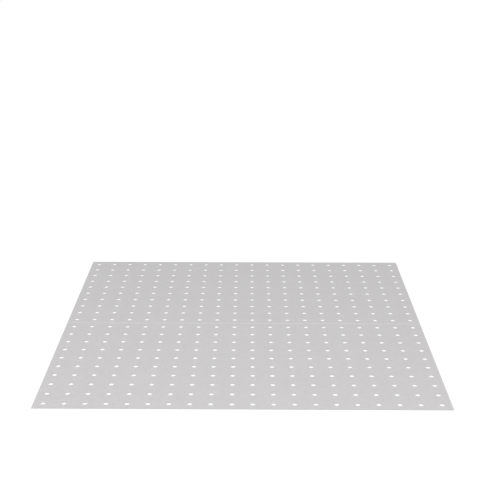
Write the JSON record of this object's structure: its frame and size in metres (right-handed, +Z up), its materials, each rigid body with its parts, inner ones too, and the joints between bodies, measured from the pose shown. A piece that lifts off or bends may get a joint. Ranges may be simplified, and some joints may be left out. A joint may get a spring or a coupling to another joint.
{
  "type": "perforated metal sheet",
  "caption": "Flat square metal sheet with round through holes on a wide square grid, for panelling, pegging or screwing to a frame.",
  "frame": {"origin": "centre of the underside", "axes": "+Z up through the thickness towards the scored face, +Y along the sheet towards its rear edge, +X across the sheet to the right, along the score line"},
  "size_m": [0.998, 0.998, 0.0012],
  "materials": {
    "sheet_metal": "matte light-grey galvanised sheet steel"
  },
  "bodies": {
    "root": {"perforated_sheet": "sheet_metal"}
  },
  "joints": []
}
